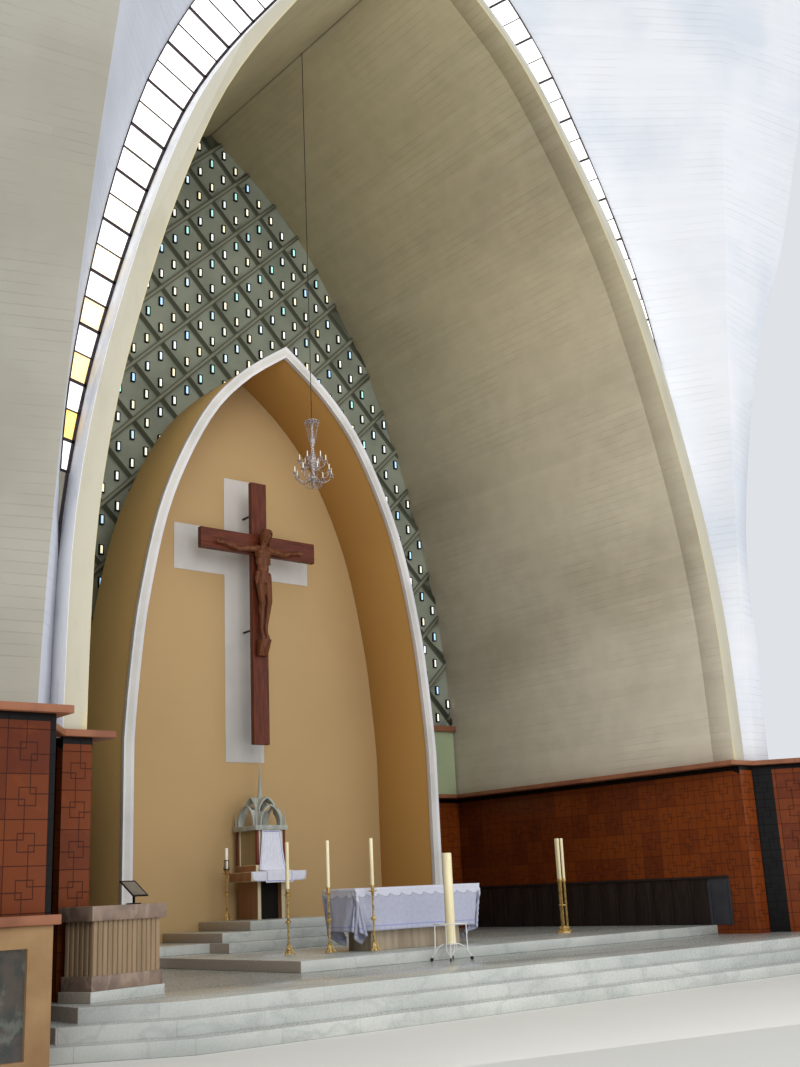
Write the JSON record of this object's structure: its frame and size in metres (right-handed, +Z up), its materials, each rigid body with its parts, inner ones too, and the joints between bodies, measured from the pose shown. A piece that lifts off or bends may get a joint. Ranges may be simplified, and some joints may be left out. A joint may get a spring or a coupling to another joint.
{
  "type": "chancel bay of a modern church with pointed vault and niche",
  "caption": "Church chancel bay: pointed concrete vault over a tiled room with steps, altar, ambo and a tall niche holding a crucifix and tabernacle.",
  "frame": {"origin": "middle of the bounding box at nave floor level", "axes": "+Z up, the open front faces -Y, +X to the right when facing the niche"},
  "size_m": [18.4122, 12.0922, 22.4],
  "materials": {
    "concrete": "board-marked concrete",
    "white_plaster": "white-painted board-marked concrete",
    "cream_paint": "cream-painted concrete",
    "ochre_paint": "matt ochre paint on plaster",
    "trim_white": "white-painted moulding",
    "grey_paint": "light grey paint",
    "green_paint": "pale green paint on plaster",
    "screen_concrete": "grey-green painted concrete",
    "tile": "red-brown tiles with incised lines",
    "red_stone": "polished reddish stone",
    "marble": "pale polished marble",
    "pale_stone": "beige stone",
    "dark_wood": "dark varnished wood",
    "carved_wood": "carved brown wood",
    "iron": "dark painted iron",
    "cloth": "white linen",
    "glass": "white and yellow panes",
    "brass": "polished brass with twisted fluting",
    "wax": "ivory wax candle",
    "white_wire": "white painted wire",
    "crystal": "clear cut-glass drops on silvered wire"
  },
  "bodies": {
    "root": {"sanctuary_floor": "marble", "front_step_upper": "marble", "front_step_lower": "marble", "altar_platform": "marble", "niche_floor": "marble", "niche_step_lower": "marble", "niche_step_upper": "marble", "side_wall_left": "tile", "side_ledge_left": "red_stone", "corner_pier_left": "tile", "pier_ledge_left": "red_stone", "side_wall_right": "tile", "side_ledge_right": "red_stone", "corner_pier_right": "tile", "pier_ledge_right": "red_stone", "pier_plinth_left": "pale_stone", "plinth_ledge_left": "red_stone", "pier_plinth_right": "pale_stone", "plinth_ledge_right": "red_stone", "vault_left": "concrete", "front_arch_left": "cream_paint", "slit_glass_left": "glass", "vault_right": "concrete", "front_arch_right": "cream_paint", "slit_glass_right": "glass", "corner_shell_left": "white_plaster", "corner_shell_right": "white_plaster", "rear_dado_left": "tile", "rear_ledge_left": "red_stone", "green_wall_left": "green_paint", "screen_ledge_left": "red_stone", "rear_dado_right": "tile", "rear_ledge_right": "red_stone", "green_wall_right": "green_paint", "screen_ledge_right": "red_stone", "lattice_screen": "screen_concrete", "niche_hood_left": "ochre_paint", "niche_hood_right": "ochre_paint", "niche_trim": "trim_white", "niche_rear_wall": "ochre_paint", "painted_cross": "grey_paint", "cross_upright": "dark_wood", "cross_arm": "dark_wood", "crucifix_figure": "carved_wood", "tabernacle_stand": "pale_stone", "tabernacle_box": "pale_stone", "tabernacle_crown": "pale_stone", "tabernacle_veil": "cloth", "altar_table": "pale_stone", "altar_cloth": "cloth", "ambo_body": "pale_stone", "ambo_top": "marble", "book_stand": "iron", "candlestick_left": "brass", "candlestick_middle": "brass", "candlestick_right": "brass", "rear_candlestick": "brass", "triple_candle_stand": "brass", "tall_candle_stand": "brass", "chandelier": "crystal"}
  },
  "joints": []
}
